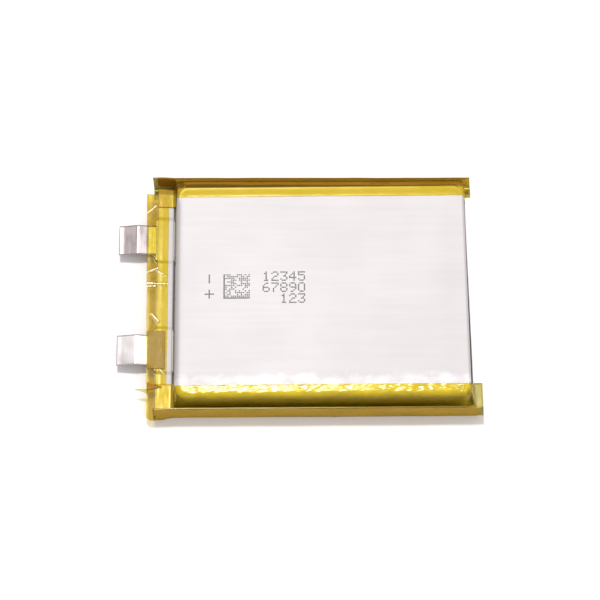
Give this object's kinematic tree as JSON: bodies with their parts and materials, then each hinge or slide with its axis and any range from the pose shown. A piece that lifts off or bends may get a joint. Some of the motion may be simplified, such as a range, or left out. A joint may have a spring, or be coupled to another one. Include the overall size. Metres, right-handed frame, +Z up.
{
  "type": "pouch battery cell",
  "caption": "Flat rectangular lithium-ion pouch cell in silver foil laminate, with taped side seals and two flat tabs at one end.",
  "frame": {"origin": "middle of the flat base panel, under the middle of the drawn body", "axes": "+X away from the tabs along the cell's length, +Y towards the negative tab's side, +Z up out of the base"},
  "size_m": [0.0826, 0.0558, 0.0063],
  "materials": {
    "laminate": "satin silver-white foil laminate",
    "yellow_film": "thin clear yellow polyimide film tape, crinkled",
    "amber_patch": "matte amber film tape",
    "nickel": "brushed nickel strip",
    "tab_aluminium": "bright rolled aluminium strip",
    "tab_sealant": "milky polypropylene film",
    "copper_foil": "bare copper foil",
    "aluminium_foil": "bare aluminium foil",
    "green_film": "green film tape",
    "anode_coating": "dark grey graphite coating on copper foil",
    "cathode_coating": "black oxide coating on aluminium foil",
    "separator_film": "white porous film",
    "print_ink": "dark grey inkjet dots"
  },
  "bodies": {
    "cell_body": {"pouch_cup": "laminate", "pouch_cover": "laminate", "side_tape_front": "yellow_film", "side_tape_back": "yellow_film", "terrace_tape_upper": "yellow_film", "terrace_tape_lower": "yellow_film", "positive_tab_patch": "amber_patch", "negative_tab_root": "nickel", "negative_sealant_lower": "tab_sealant", "negative_sealant_upper": "tab_sealant", "positive_tab_root": "tab_aluminium", "positive_sealant_lower": "tab_sealant", "positive_sealant_upper": "tab_sealant", "negative_foil_bundle": "copper_foil", "negative_weld_tape": "green_film", "positive_foil_bundle": "aluminium_foil", "positive_weld_tape": "green_film", "anode_01": "anode_coating", "anode_02": "anode_coating", "anode_03": "anode_coating", "anode_04": "anode_coating", "anode_05": "anode_coating", "anode_06": "anode_coating", "anode_07": "anode_coating", "anode_08": "anode_coating", "anode_09": "anode_coating", "anode_10": "anode_coating", "anode_11": "anode_coating", "anode_12": "anode_coating", "cathode_01": "cathode_coating", "cathode_02": "cathode_coating", "cathode_03": "cathode_coating", "cathode_04": "cathode_coating", "cathode_05": "cathode_coating", "cathode_06": "cathode_coating", "cathode_07": "cathode_coating", "cathode_08": "cathode_coating", "cathode_09": "cathode_coating", "cathode_10": "cathode_coating", "cathode_11": "cathode_coating", "separator": "separator_film", "stack_tape_front": "green_film", "stack_tape_back": "green_film"},
    "negative_tab": {"negative_tab_blade": "nickel"},
    "positive_tab": {"positive_tab_blade": "tab_aluminium"}
  },
  "joints": [
    {"name": "negative_tab_fold", "type": "hinge", "parent": "cell_body", "child": "negative_tab", "pos_m": [-0.042, 0.0142, 0.00314], "axis": [0, 1, 0], "range_deg": [-25, 150]},
    {"name": "positive_tab_fold", "type": "hinge", "parent": "cell_body", "child": "positive_tab", "pos_m": [-0.042, -0.0128, 0.00314], "axis": [0, 1, 0], "range_deg": [-25, 150]}
  ]
}
